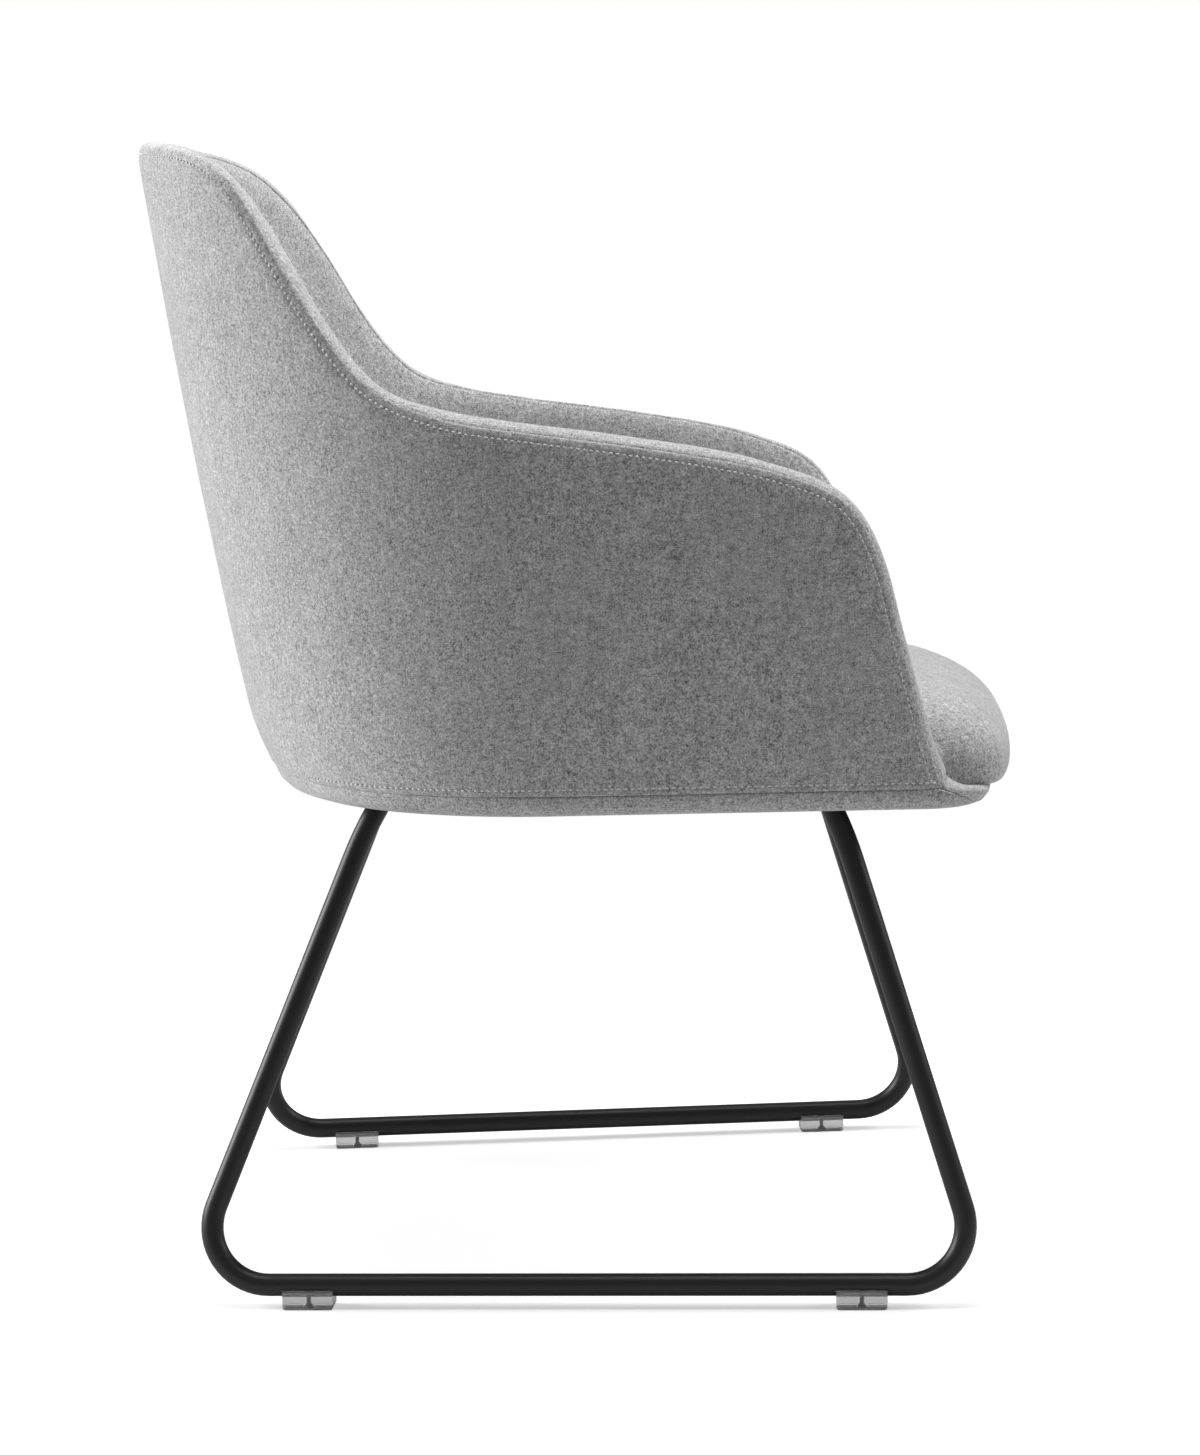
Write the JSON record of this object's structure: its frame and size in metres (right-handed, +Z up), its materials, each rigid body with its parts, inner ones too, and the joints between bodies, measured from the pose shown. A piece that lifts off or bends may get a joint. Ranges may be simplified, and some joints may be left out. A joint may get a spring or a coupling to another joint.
{
  "type": "sled base visitor chair",
  "caption": "Upholstered tub visitor chair with a crowned seat cushion on black tubular sled loops with clear glides.",
  "frame": {"origin": "middle of the chair's outline on the floor, at the underside of the glides", "axes": "+X points the way the sitter faces, +Y to the sitter's left, +Z up; Y = 0 is the mirror plane"},
  "size_m": [0.6494, 0.5906, 0.8294],
  "materials": {
    "cover_fabric": "fine flat weave, light grey melange",
    "foam": "open cell upholstery foam",
    "shell_plastic": "moulded, even grain",
    "plywood": "sanded birch plywood",
    "dust_cloth": "thin non-woven cloth",
    "frame_coat": "matt black powder coat",
    "zinc": "zinc plated",
    "black_screw": "black oxide",
    "clear_plastic": "clear moulded plastic"
  },
  "bodies": {
    "root": {"outer_cover": "cover_fabric", "inner_cover": "cover_fabric", "rim_band": "cover_fabric", "bottom_band": "cover_fabric", "front_lip_band": "cover_fabric", "cushion_cover": "cover_fabric", "shell_foam": "foam", "cushion_foam": "foam", "moulded_shell": "shell_plastic", "seat_board": "plywood", "dust_cover": "dust_cloth", "left_sled_loop": "frame_coat", "right_sled_loop": "frame_coat", "front_cross_tube": "frame_coat", "rear_cross_tube": "frame_coat", "front_left_plate": "frame_coat", "front_right_plate": "frame_coat", "rear_left_plate": "frame_coat", "rear_right_plate": "frame_coat", "mounting_bolts": "zinc", "bolt_washers": "zinc", "t_nuts": "zinc", "shell_screws": "zinc", "dust_cover_staples": "zinc", "glide_screws": "black_screw", "front_left_glide": "clear_plastic", "front_right_glide": "clear_plastic", "rear_left_glide": "clear_plastic", "rear_right_glide": "clear_plastic"}
  },
  "joints": []
}
